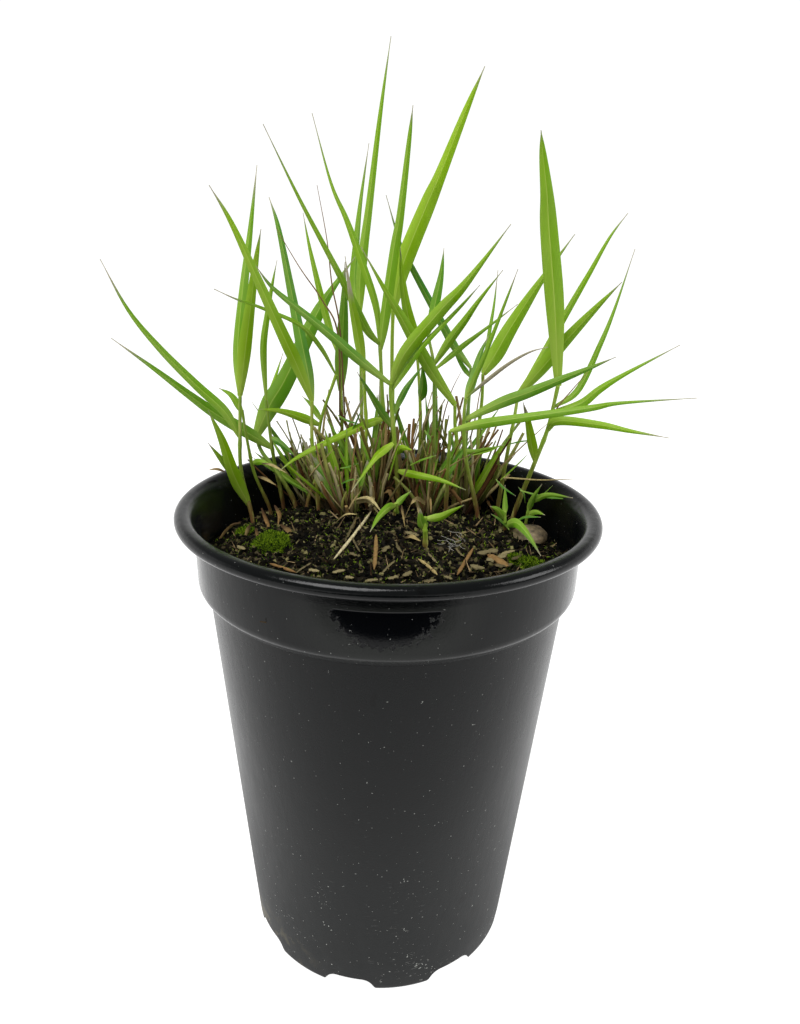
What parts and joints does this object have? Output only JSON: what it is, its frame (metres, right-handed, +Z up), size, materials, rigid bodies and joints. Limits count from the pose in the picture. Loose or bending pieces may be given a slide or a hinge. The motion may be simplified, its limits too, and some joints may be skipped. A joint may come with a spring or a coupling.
{
  "type": "potted forest grass",
  "caption": "Young clump of arching forest grass with dead straw at its crown, growing in a round tapered nursery pot filled with mix.",
  "frame": {"origin": "middle of the pot's flat underside, on the surface it stands on", "axes": "+Z up through the pot's mouth; the picture is taken looking along +Y, with +X to the right"},
  "size_m": [0.1578, 0.115, 0.2547],
  "materials": {
    "leaf_green": "thin green leaf, softly shining",
    "straw_brown": "dry dead stalk, dull",
    "pot_plastic": "dark recycled plastic, half gloss, scuffed",
    "growing_mix": "damp crumbly peat mix, dull",
    "moss_green": "soft moss, dull",
    "stone_brown": "smooth pebble, dull"
  },
  "bodies": {
    "root": {"chip_right": "straw_brown", "moss_back_left": "moss_green", "moss_left": "moss_green", "moss_right": "moss_green", "needle_front": "straw_brown", "needle_near": "straw_brown", "needle_right": "straw_brown", "pebble": "stone_brown", "pot": "pot_plastic", "shoot_arching": "leaf_green", "shoot_blue": "leaf_green", "shoot_browned": "leaf_green", "shoot_centre": "leaf_green", "shoot_fork": "leaf_green", "shoot_golden": "leaf_green", "shoot_left_broad": "leaf_green", "shoot_left_front": "leaf_green", "shoot_left_inner": "leaf_green", "shoot_left_long": "leaf_green", "shoot_left_slender": "leaf_green", "shoot_pale": "leaf_green", "shoot_right_broad": "leaf_green", "shoot_right_inner": "leaf_green", "shoot_right_low": "leaf_green", "shoot_right_pair": "leaf_green", "shoot_right_tall": "leaf_green", "shoot_tallest": "leaf_green", "shoot_twin": "leaf_green", "shoot_upright": "leaf_green", "shoot_wide_lean": "leaf_green", "soil": "growing_mix", "sprout_front": "leaf_green", "sprout_middle": "leaf_green", "sprout_right": "leaf_green", "sprout_right_edge": "leaf_green", "straw_back": "straw_brown", "straw_back_right": "straw_brown", "straw_far_left": "straw_brown", "straw_inner_right": "straw_brown", "straw_left": "straw_brown", "straw_left_near": "straw_brown", "straw_middle": "straw_brown", "straw_right": "straw_brown", "straw_right_near": "straw_brown", "twig_left": "straw_brown", "twig_pale": "straw_brown"}
  },
  "joints": []
}
